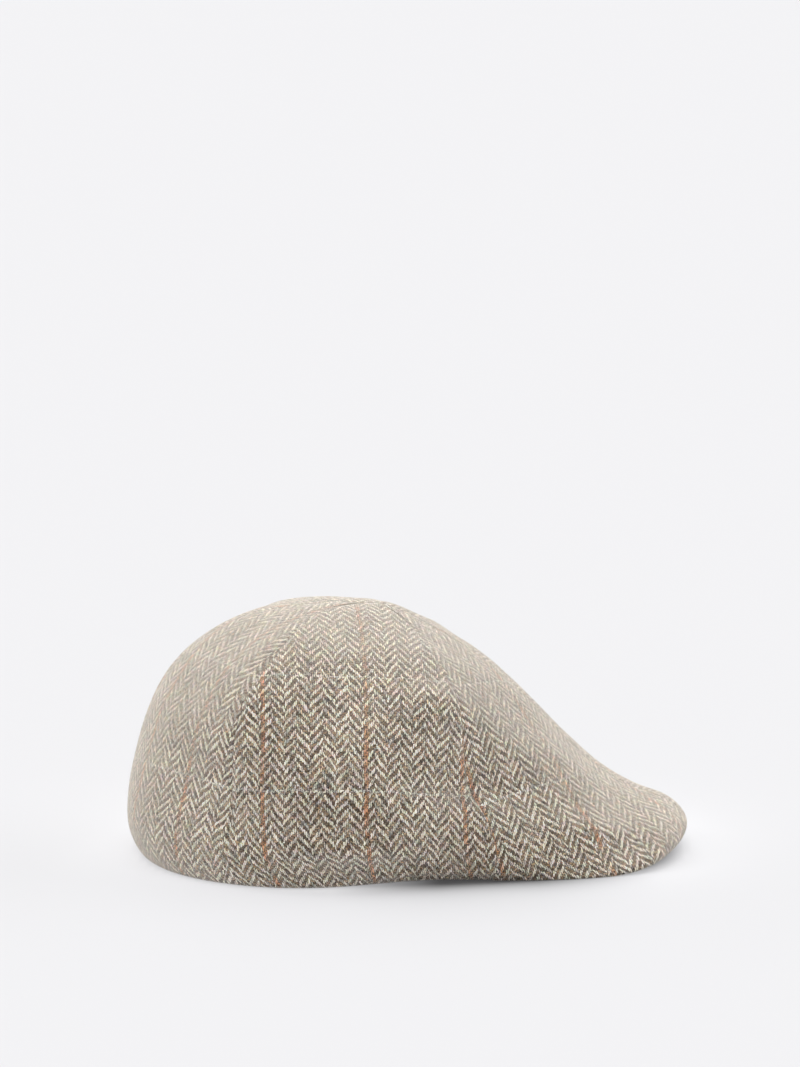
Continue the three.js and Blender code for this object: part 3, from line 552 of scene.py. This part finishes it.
def fix_outward(obj):
    mesh = obj.data
    n = len(mesh.loops)
    mesh.calc_loop_triangles()
    tri = np.zeros(len(mesh.loop_triangles) * 3, np.int32)
    mesh.loop_triangles.foreach_get("vertices", tri)
    co = np.zeros(len(mesh.vertices) * 3, np.float32)
    mesh.vertices.foreach_get("co", co)
    co = co.reshape(-1, 3).astype(float)
    a, b, c = (co[tri.reshape(-1, 3)[:, k]] for k in range(3))
    if np.einsum("ij,ij->i", a, np.cross(b, c)).sum() < 0:
        mesh.flip_normals()


PEAK_CLEAR, PEAK_EDGE_T, PEAK_FLAT_T, BOARD = 1.0, 0.012, 0.11, 3.0
PEAK_ROOT = {"station": [0, 1, 2, 3, 4, 5, 6, 6.42], "angle": [0, 8.9, 16.6, 22.8, 29.4, 36.6, 44.6, 48.6], "z": [33, 32.2, 30, 26.8, 22, 15.5, 8, 5]}
OVAL = {"x": -24.0, "half_length": 101.0, "half_width": 84.0}


def peak(name, node, phase):
    st = np.array(PEAK_ROOT["station"], float)
    s_end, inset = st[-1], CLOTH + PEAK_CLEAR
    nC, nR = 260, 96
    s = np.linspace(-s_end, s_end, nC)
    m, sign = np.abs(s), np.where(s < 0, -1, 1)
    leave_t = PEAK_FLAT_T - 0.05 * np.maximum(0, m - 3) / 3.42
    basis = spline_basis(st, m)
    angle, z = np.radians(basis @ np.array(PEAK_ROOT["angle"], float)), basis @ np.array(PEAK_ROOT["z"], float)
    root = np.stack([OVAL["x"] + OVAL["half_length"] * np.cos(angle), -sign * OVAL["half_width"] * np.sin(angle), z], -1)

    # skin at many t for every column, then interpolation along t
    tg = np.linspace(0.0, 0.14, 57)
    S = np.repeat(s[None, :], len(tg), 0)
    G, GN = skin(S, tg)

    def at(t):
        i = np.clip((t / 0.14 * 56).astype(int), 0, 55)
        f = (t / 0.14 * 56 - i)[:, None]
        k = np.arange(nC)
        P = G[i, k] * (1 - f) + G[i + 1, k] * f
        N = GN[i, k] * (1 - f) + GN[i + 1, k] * f
        N /= np.linalg.norm(N, axis=1, keepdims=True)
        return P - N * inset, N

    leave, n_leave = at(leave_t)
    ahead, _ = at(leave_t + 0.01)
    edge_p, edge_n = at(np.full(nC, PEAK_EDGE_T))
    edge_low = edge_p - edge_n * 0.9
    span = np.linalg.norm(root - leave, axis=1, keepdims=True)
    t0 = ahead - leave
    t0 *= span / np.linalg.norm(t0, axis=1, keepdims=True)
    t1 = root - leave
    t1[:, 2] = 0
    t1 *= span / np.linalg.norm(t1, axis=1, keepdims=True)
    share = 0.4 - 0.1 * m / s_end
    ease = np.linspace(0, 1, nR)
    F = np.concatenate([[0, 0.0015, 0.004, 0.008, 0.014, 0.022], np.linspace(0.034, 0.966, nR - 12), 1 - np.array([0.022, 0.014, 0.008, 0.004, 0.0015, 0])])
    top, low = np.zeros((nR, nC, 3)), np.zeros((nR, nC, 3))
    for i, f in enumerate(F):
        g = np.clip((f - share) / (1 - share), 0, 1)[:, None]
        near, n_near = at(PEAK_EDGE_T + (leave_t - PEAK_EDGE_T) * np.clip(f / share, 0, 1))
        h00, h10, h01, h11 = 2 * g**3 - 3 * g * g + 1, g**3 - 2 * g * g + g, 3 * g * g - 2 * g**3, g**3 - g * g
        far = leave * h00 + t0 * h10 * 0.6 + root * h01 + t1 * h11 * 0.6
        up = n_leave * (1 - g) + np.array([0, 0, 1.0]) * g
        up /= np.linalg.norm(up, axis=1, keepdims=True)
        first = (f <= share)[:, None]
        top[i] = np.where(first, near, far)
        lin = edge_low * (1 - np.clip(f / share, 0, 1))[:, None] + (leave - n_leave * BOARD) * np.clip(f / share, 0, 1)[:, None]
        low[i] = np.where(first, lin, far - up * BOARD)
    # rounded borders: the two faces close on a half circle
    def cum(G_):
        d = np.concatenate([np.zeros((1, nC)), np.cumsum(np.linalg.norm(np.diff(G_, axis=0), axis=2), axis=0)])
        return d
    d0 = cum(top)
    gap = np.linalg.norm(top - low, axis=2)
    d = np.minimum(d0, d0[-1] - d0)
    r = np.minimum(1.4, gap / 2)
    bite = np.where(d < r, r - np.sqrt(np.maximum(0, r**2 - (r - d) ** 2)), 0)
    mid = (top + low) / 2
    share_in = np.clip(bite / (gap / 2), 0, 0.985)[..., None]
    top, low = top * (1 - share_in) + mid * share_in, low * (1 - share_in) + mid * share_in
    U = np.concatenate([np.zeros((nR, 1)), np.cumsum(np.linalg.norm(np.diff(top, axis=1), axis=2), 1)], 1)
    # a soft weave layout: the view from above, in mm
    weave_top = np.stack([-top[..., 1], top[..., 0] * 1.04], -1)
    weave_low = np.stack([-low[..., 1] + 300, low[..., 0] * 1.04], -1)
    outer, inner = low, top
    verts = np.concatenate([outer.reshape(-1, 3), inner.reshape(-1, 3)])
    w = np.linspace(0, 1, nC)
    quads, tris = closed_sheet((nR, nC), (nR, nC), F, F, w, w)
    weave = np.concatenate([weave_low.reshape(-1, 2), weave_top.reshape(-1, 2)])
    bake = pack_uv(weave_low.reshape(-1, 2), weave_top.reshape(-1, 2))
    border = np.concatenate([d.ravel(), d.ravel()])
    obj = make_object(name, verts, quads, tris, weave / 100, bake, border, 0 * border)
    fix_outward(obj)
    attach(obj, "root")
    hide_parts(node)
    return obj


# ---------------------------------------------------------------- the herringbone cloth
class Node:
    """A socket that can be added to, multiplied and so on; each step is a Math node."""
    tree = None

    def __init__(self, socket):
        self.socket = socket

    @classmethod
    def math(cls, op, *args, clamp=False):
        n = cls.tree.nodes.new("ShaderNodeMath")
        n.operation = op
        n.use_clamp = clamp
        for i, a in enumerate(args):
            if isinstance(a, Node):
                cls.tree.links.new(a.socket, n.inputs[i])
            else:
                n.inputs[i].default_value = float(a)
        return Node(n.outputs[0])

    def __add__(self, o): return Node.math("ADD", self, o)
    def __radd__(self, o): return Node.math("ADD", o, self)
    def __sub__(self, o): return Node.math("SUBTRACT", self, o)
    def __rsub__(self, o): return Node.math("SUBTRACT", o, self)
    def __mul__(self, o): return Node.math("MULTIPLY", self, o)
    def __rmul__(self, o): return Node.math("MULTIPLY", o, self)
    def __truediv__(self, o): return Node.math("DIVIDE", self, o)
    def floor(self): return Node.math("FLOOR", self)
    def fract(self): return Node.math("FRACT", self)
    def mod(self, o): return Node.math("FLOORED_MODULO", self, o)
    def less(self, o): return Node.math("LESS_THAN", self, o)
    def more(self, o): return Node.math("GREATER_THAN", self, o)
    def sqrt(self): return Node.math("SQRT", self)
    def power(self, o): return Node.math("POWER", self, o)
    def clamp(self): return Node.math("ADD", self, 0.0, clamp=True)
    def abs(self): return Node.math("ABSOLUTE", self)


def combine(x, y, z=0.0):
    n = Node.tree.nodes.new("ShaderNodeCombineXYZ")
    for i, a in enumerate((x, y, z)):
        if isinstance(a, Node):
            Node.tree.links.new(a.socket, n.inputs[i])
        else:
            n.inputs[i].default_value = float(a)
    return Node(n.outputs[0])


def white(x, y, z=0.0):
    n = Node.tree.nodes.new("ShaderNodeTexWhiteNoise")
    n.noise_dimensions = "3D"
    Node.tree.links.new(combine(x, y, z).socket, n.inputs["Vector"])
    return Node(n.outputs["Value"])


def noise(x, y, z, scale, detail=2.0, rough=0.5, colour=False):
    n = Node.tree.nodes.new("ShaderNodeTexNoise")
    n.noise_dimensions = "3D"
    Node.tree.links.new(combine(x, y, z).socket, n.inputs["Vector"])
    n.inputs["Scale"].default_value = scale
    n.inputs["Detail"].default_value = detail
    n.inputs["Roughness"].default_value = rough
    return Node(n.outputs["Color" if colour else "Fac"])


def split(v):
    n = Node.tree.nodes.new("ShaderNodeSeparateXYZ")
    Node.tree.links.new(v.socket, n.inputs[0])
    return [Node(o) for o in n.outputs]


def mix(fac, a, b):
    """Mixes two colours; each is a Node or a tuple."""
    n = Node.tree.nodes.new("ShaderNodeMix")
    n.data_type = "RGBA"
    n.clamp_factor = True
    ins = {s.identifier: s for s in n.inputs}
    for key, v in (("Factor_Float", fac), ("A_Color", a), ("B_Color", b)):
        if isinstance(v, Node):
            Node.tree.links.new(v.socket, ins[key])
        elif key == "Factor_Float":
            ins[key].default_value = float(v)
        else:
            ins[key].default_value = (*v, 1.0)
    return Node([o for o in n.outputs if o.identifier == "Result_Color"][0])


def scale_colour(c, f):
    n = Node.tree.nodes.new("ShaderNodeVectorMath")
    n.operation = "SCALE"
    Node.tree.links.new(c.socket, n.inputs[0])
    Node.tree.links.new(f.socket, [s for s in n.inputs if s.name == "Scale"][0])
    return Node(n.outputs[0])


END, PICK, COLUMN = 1.045, 1.19, 6        # mm an end, mm a pick, ends a column of the herringbone
CREAM_EVERY = 49                           # picks between the cream lines of the overcheck
LIGHT, LIGHT_2 = (0.94, 0.875, 0.765), (0.75, 0.665, 0.545)
DARK, DARK_2 = (0.185, 0.114, 0.062), (0.345, 0.235, 0.142)
RUST, CREAM, OCHRE = (0.58, 0.235, 0.085), (0.86, 0.81, 0.72), (0.50, 0.30, 0.12)


def herringbone(name, rust_at, rust_every, cream_at, lie, drift, seed):
    """rust_at and cream_at: the cloth coordinates, in mm, of one rust end and one cream pick.
    rust_every: ends from one rust line to the next.  lie: how far, in degrees, the cloth is cut off the straight."""
    mat = bpy.data.materials.new(name)
    mat.use_nodes = True
    tree = mat.node_tree
    Node.tree = tree
    bsdf = tree.nodes["Principled BSDF"]
    uv = tree.nodes.new("ShaderNodeUVMap")
    uv.uv_map = "Weave"
    U, V, _ = split(Node(uv.outputs[0]))
    cs, sn = 100.0 * math.cos(math.radians(lie)), 100.0 * math.sin(math.radians(lie))
    U, V = U * cs - V * sn, U * sn + V * cs
    low = Node.math("MAXIMUM", 1.0 - V / 34.0, 0.0)
    U = U + low * low * drift                     # the ends lean where the cloth is drawn in to the hem
    # the cloth is not perfectly square: the yarns wander a little
    wob = noise(U, V, seed * 3.1, 0.11, 2.0, 0.5, colour=True)
    wx, wy, _ = split(wob)
    Uw, Vw = U + (wx - 0.5) * 2.2, V + (wy - 0.5) * 3.0
    fine = noise(U, V, seed * 5.7 + 40, 0.85, 2.0, 0.6, colour=True)
    fx, fy, _ = split(fine)
    Uw, Vw = Uw + (fx - 0.5) * 1.5, Vw + (fy - 0.5) * 2.4
    ex = (Uw - rust_at) / END + 3.5 + COLUMN * 8 * 100
    # an end rides a little higher or lower than its neighbour
    Vw = Vw + (white(ex.floor(), (Vw * 0.13).floor(), seed + 90.0) - 0.5) * 0.55
    py = (Vw - cream_at) / PICK + 0.5 + 4 * 300
    e, p = ex.floor(), py.floor()
    fu, fv = ex - e, py - p
    c = (e / COLUMN).floor()
    el = e - c * COLUMN
    odd = c.mod(2.0)
    q = el + odd * ((COLUMN - 1.0) - 2.0 * el)
    run = q + p + odd * 2.0
    k = run.mod(4.0)
    # the light float rides over a little more than its two picks
    ride = (q + py + odd * 2.0 + 0.25).mod(4.0)
    warp = ride.less(2.5)
    turn = 1.0 - 2.0 * odd
    along_w = ride / 2.5
    fdir = fu + odd * (1.0 - 2.0 * fu)
    along_f = (k - 2.0 + fdir) / 2.0
    b2, d2 = along_w * 2.0 - 1.0, along_f * 2.0 - 1.0
    a2 = (fu * 2.0 - 1.0 + turn * 0.55 * b2) * 1.0      # the twist leans each float over
    c2 = (fv * 2.0 - 1.0) * 1.02
    hw = Node.math("MAXIMUM", 1.0 - a2 * a2, 0.0).power(1.5) * (1.0 - (b2 * b2) * (b2 * b2) * 0.6)
    hf = Node.math("MAXIMUM", 1.0 - c2 * c2, 0.0) * (1.0 - (d2 * d2) * (d2 * d2) * 0.7)
    height = warp * hw + (1.0 - warp) * (hf * 0.72)

    # colours: a yarn, each float on it, and the fibres along it
    end_r, pick_r = white(e, seed + 0.5, 1.0), white(p, seed + 7.5, 2.0)
    float_w = white(e, ((q + py + odd * 2.0 + 0.25) / 4.0).floor(), seed + 3.0)
    float_f = white(p, ((run + 2.0) / 4.0).floor() + c * 13.0, seed + 9.0)
    streak_w = (noise(U, V * 0.30, seed + 1.0, 2.6, 3.0, 0.75) - 0.5) * 2.6
    streak_f = (noise(U * 0.30, V, seed + 2.0, 2.6, 3.0, 0.75) - 0.5) * 2.6
    patch = noise(U, V, seed + 11.0, 0.16, 3.0, 0.6)
    patch_2 = noise(U, V, seed + 23.0, 0.09, 2.0, 0.5)
    light = mix((float_w * 0.75 + end_r * 0.35 + (patch - 0.5) * 1.6).clamp(), LIGHT, LIGHT_2)
    dark = mix((float_f * 0.8 + pick_r * 0.3 + (patch_2 - 0.5) * 1.4).clamp(), DARK, DARK_2)
    # rust ends and cream picks
    from_rust = (e + float(200 * rust_every) - float(3 + COLUMN * 8 * 100)).mod(float(rust_every))
    rust_line = from_rust.less(1.5)
    rust_amt = rust_line * (0.62 + 4.5 * (noise(U, V, seed + 31.0, 0.13, 3.0, 0.65) - 0.46)).clamp()
    light = mix(rust_amt * 0.85, light, RUST)
    dark = mix(rust_amt * 0.6, dark, RUST)
    from_cream = (p + float(200 * CREAM_EVERY) - 1200.0).mod(float(CREAM_EVERY))
    cream_amt = from_cream.less(0.5) * (hf * 0.8) * (0.35 + 0.8 * noise(U, V, seed + 37.0, 0.2, 2.0, 0.6)).clamp()
    dark = mix(cream_amt, dark, CREAM)
    cream_line = from_cream.less(1.0) * (fv - 0.5).abs().less(0.32) * (0.35 + 0.9 * noise(U, V, seed + 37.0, 0.2, 2.0, 0.6)).clamp()
    ochre = (from_cream - 19.0).abs().less(0.5) * (noise(U, V, seed + 41.0, 0.07, 2.0, 0.5) * 2.4 - 0.95).clamp()
    dark = mix(ochre * 0.7, dark, OCHRE)
    base = mix(cream_line * 0.85, mix(warp, dark, light), CREAM)
    # stray coloured fibres
    fleck = white(e, (p / 2.0).floor(), seed + 50.0)
    pick_hue = white(e, (p / 2.0).floor(), seed + 60.0)
    hue = mix(pick_hue.less(0.4), (0.16, 0.17, 0.18), mix(pick_hue.less(0.22), (0.50, 0.28, 0.11), (0.26, 0.23, 0.12)))
    base = mix(fleck.more(0.955) * 0.6, base, hue)
    knot = ((noise(U, V, seed + 55.0, 0.55, 3.0, 0.7) - 0.645) * 9.0).clamp()
    base = mix(knot * 0.55, base, (0.50, 0.27, 0.11))
    # brown and grey patches, and loose fibres lying over the weave
    base = mix((patch_2 - 0.46).clamp() * 0.9, base, mix(pick_r, (0.42, 0.33, 0.235), (0.36, 0.34, 0.31)))
    haze = ((noise(U, V, seed + 80.0, 0.7, 4.0, 0.75) - 0.36) * 1.9).clamp()
    base = mix(haze * 0.42, base, (0.50, 0.445, 0.37))
    # painted sheen: where the cloth is marked, the weave is mixed further down towards a pale, even wool colour,
    # standing in for the sheen of the fuzz at a grazing angle
    sheen_paint = tree.nodes.new("ShaderNodeAttribute")
    sheen_paint.attribute_name = "sheen_paint"
    sheen_paint = Node(sheen_paint.outputs["Fac"]) * (0.18 + 0.62 * noise(U, V, seed + 95.0, 0.45, 3.0, 0.65))
    streak = warp * streak_w + (1.0 - warp) * streak_f
    grain = (noise(U, V, seed + 85.0, 2.1, 2.0, 0.65) - 0.5) * 3.0
    # painted shade: each float is darkened towards its sides and ends, so the gaps between the yarns are dark in the
    # colour as well as in the bump; the factor after it varies the floats' and fibres' tone at random
    yarn_painted_shade = warp * (0.07 + 1.62 * hw) + (1.0 - warp) * (0.40 + 0.92 * hf)
    lit = 1.06 + 0.50 * streak + grain + 1.0 * warp * (float_w - 0.5) + 1.1 * (1.0 - warp) * (float_f - 0.45)
    shade = yarn_painted_shade * Node.math("MAXIMUM", lit, 0.2)
    # painted shade: the cloth is darkened within about 3 mm of its edge, at the turned-under hem and the peak's rounded
    # border, standing in for the shade where the edge turns under towards the floor
    hem = tree.nodes.new("ShaderNodeAttribute")
    hem.attribute_name = "hem_mm"
    edge = Node(hem.outputs["Fac"])
    hem_painted_shade = 1.0 - 0.40 * Node.math("MAXIMUM", 1.0 - edge / 3.2, 0.0)
    base = scale_colour(base, shade * hem_painted_shade)
    # painted sheen: the weave is mixed into a pale, even wool colour where marked
    base = mix(sheen_paint, base, scale_colour(mix(pick_r, (0.55, 0.475, 0.385), (0.49, 0.43, 0.355)), (0.9 + 0.5 * streak + 0.3 * grain)))
    # each patch of wool has its own cast
    for place, frequency, amount in ((110.0, 0.30, 0.36), (130.0, 1.0, 0.24)):
        cr, cg, cb = split(noise(U, V, seed + place, frequency, 2.0, 0.6, colour=True))
        even = (cr + cg + cb) / 3.0
        br, bg, bb = split(base)
        base = combine(br * (1.0 + (cr - even) * amount), bg * (1.0 + (cg - even) * amount), bb * (1.0 + (cb - even) * amount))
    tree.links.new(base.socket, bsdf.inputs["Base Color"])
    bsdf.inputs["Roughness"].default_value = 0.92
    bsdf.inputs["Specular IOR Level"].default_value = 0.22
    bsdf.inputs["Sheen Weight"].default_value = 1.0
    bsdf.inputs["Sheen Roughness"].default_value = 0.37
    bsdf.inputs["Sheen Tint"].default_value = (1.0, 0.965, 0.91, 1.0)
    fuzz = noise(U, V, seed + 70.0, 6.0, 2.0, 0.6)
    bump = tree.nodes.new("ShaderNodeBump")
    bump.inputs["Strength"].default_value = 1.0
    bump.inputs["Distance"].default_value = 0.00055
    tree.links.new((height + streak * 0.35 + fuzz * 0.25).socket, bump.inputs["Height"])
    tree.links.new(bump.outputs[0], bsdf.inputs["Normal"])
    return mat


# ---------------------------------------------------------------- build
PIECES = [
    # node, from, to, plain hem, columns, rows; a rust end (mm), ends to the next, a cream pick (mm), lie (degrees), drift (mm)
    ("front_panel", 0, "front_side", True, 250, 262, 57.0, 49, 44.0, -6.0, 0.0),
    ("side_panel", "front_side", "side_back", False, 250, 250, 0.6, 48, 41.5, 0.5, 5.5),
    ("back_panel", "side_back", LAST, False, 210, 262, -17.0, 33, 45.7, 4.5, 2.0),
]
for i, (node, frm, to, plain, cols, rows, rust_at, rust_every, cream_at, lie, drift) in enumerate(PIECES):
    for j, hand in enumerate(("right", "left")):
        name = f"{node}_{hand}"
        obj = gore(name + "_tweed", name, frm, to, hand == "left", plain, 100 + 17 * i + 5 * j, cols, rows, 0)
        shift = 0.0 if hand == "right" else 9.7 + 5.3 * i
        obj.data.materials.append(herringbone(name + "_herringbone", rust_at + shift, rust_every, cream_at + shift * 0.6, lie, drift, 3.0 + 2 * i + j))
under = peak("peak_tweed", "peak", 0)
under.data.materials.append(herringbone("peak_herringbone", 4.0, 50, 90.0, 0.0, 0.0, 19.0))

# ---------------------------------------------------------------- studio
def floor_material():
    mat = bpy.data.materials.new("studio_floor")
    mat.use_nodes = True
    b = mat.node_tree.nodes["Principled BSDF"]
    b.inputs["Base Color"].default_value = (0.18, 0.18, 0.183, 1)
    b.inputs["Emission Color"].default_value = (0.985, 0.98, 1.0, 1)      # the floor glows white; its glow amount paints the shadow round the cap
    glow_painted_shadow_and_light = mat.node_tree.nodes.new("ShaderNodeAttribute")
    glow_painted_shadow_and_light.attribute_name = "glow_painted_shadow_and_light"
    Node.tree = mat.node_tree
    mat.node_tree.links.new((Node(glow_painted_shadow_and_light.outputs["Fac"]) * 0.53).socket, b.inputs["Emission Strength"])
    b.inputs["Roughness"].default_value = 0.9
    b.inputs["Specular IOR Level"].default_value = 0.0
    return mat


# the floor is finer near the cap, and carries how much it glows at each place: little under the cap and in front of the
# temple, where the edge is lifted, a painted shadow; a little more just outside the rest of the edge, painted light
# that lightens the shadow there
places = np.concatenate([[-60, -4, -1, -0.5], np.arange(-0.26, 0.2601, 0.004), [0.5, 1, 4, 60]])
gx, gy = [a.ravel() for a in np.meshgrid(places * 1000.0, places * 1000.0)]
ring = form(np.linspace(0, LAST, 60)[None, :], np.array([0.0]))[0]
ring = np.concatenate([ring, (ring * np.array([1, -1, 1]))[-2:0:-1]])[:, :2]
a, b = ring, np.roll(ring, -1, 0)
P2 = np.stack([gx, gy], 1)[:, None]
along = np.clip(((P2 - a) * (b - a)).sum(-1) / np.maximum(((b - a) ** 2).sum(-1), 1e-9), 0, 1)
away = np.linalg.norm(P2 - a - along[..., None] * (b - a), axis=-1).min(1)
crosses = ((a[:, 1] > gy[:, None]) != (b[:, 1] > gy[:, None])) & (gx[:, None] < (b[:, 0] - a[:, 0]) * (gy[:, None] - a[:, 1]) / np.where(b[:, 1] == a[:, 1], 1e-9, b[:, 1] - a[:, 1]) + a[:, 0])
inside = crosses.sum(1) % 2 == 1
away = np.where(inside, -away, away)
raised = np.clip((gx + 35) / 50, 0, 1) * np.clip((125 - gx) / 60, 0, 1)
# painted shadow, then painted light: the glow is dimmed under the cap and in front of the lifted temple, and raised a
# little just outside the rest of the edge
glow_painted_shadow_and_light = np.minimum(np.clip((away + 12) / 10, 0.1, 1), 1 - 0.88 * raised * np.exp(-((np.maximum(away, 0) / 12.0) ** 1.3)))
glow_painted_shadow_and_light += 0.27 * (1 - raised) * np.exp(-np.maximum(away, 0) / 26.0) * np.clip((away + 2) / 4, 0, 1)
n = len(places)
fm = bpy.data.meshes.new("studio_floor")
fm.from_pydata([(x / 1000, y / 1000, 0.0) for x, y in zip(gx, gy)], [], [(r * n + c, r * n + c + 1, (r + 1) * n + c + 1, (r + 1) * n + c) for r in range(n - 1) for c in range(n - 1)])
fm.attributes.new("glow_painted_shadow_and_light", "FLOAT", "POINT").data.foreach_set("value", glow_painted_shadow_and_light.astype(np.float32))
floor = bpy.data.objects.new("studio_floor", fm)
floor.location.z = -0.0001
bpy.context.scene.collection.objects.link(floor)
fm.materials.append(floor_material())

world = bpy.data.worlds.new("studio")
bpy.context.scene.world = world
world.use_nodes = True
Node.tree = world.node_tree
where = Node.tree.nodes.new("ShaderNodeTexCoord")
_, sky_y, _ = split(Node(where.outputs["Generated"]))
background = world.node_tree.nodes["Background"]
background.inputs[0].default_value = (1.0, 1.0, 1.0, 1)
sky = 0.36 + 1.04 * Node.math("SMOOTH_MIN", Node.math("MAXIMUM", sky_y * 0.9 + 0.50, 0.0), 1.0, 0.1)
world.node_tree.links.new(sky.socket, background.inputs[1])      # the room is dim on the near side, bright behind

for light_name, energy, spread, turn in (("softbox_top", 2.85, 60, (-30, -4, 0)), ("softbox_left", 1.75, 50, (0, -64, -14)), ("softbox_right", 1.45, 50, (0, 64, 14))):
    sun = bpy.data.lights.new(light_name, "SUN")
    sun.energy = energy
    sun.angle = math.radians(spread)
    lamp = bpy.data.objects.new(light_name, sun)
    lamp.rotation_euler = [math.radians(a) for a in turn]
    bpy.context.scene.collection.objects.link(lamp)

bpy.context.scene.view_settings.view_transform = "Standard"
bpy.context.scene.view_settings.look = "None"
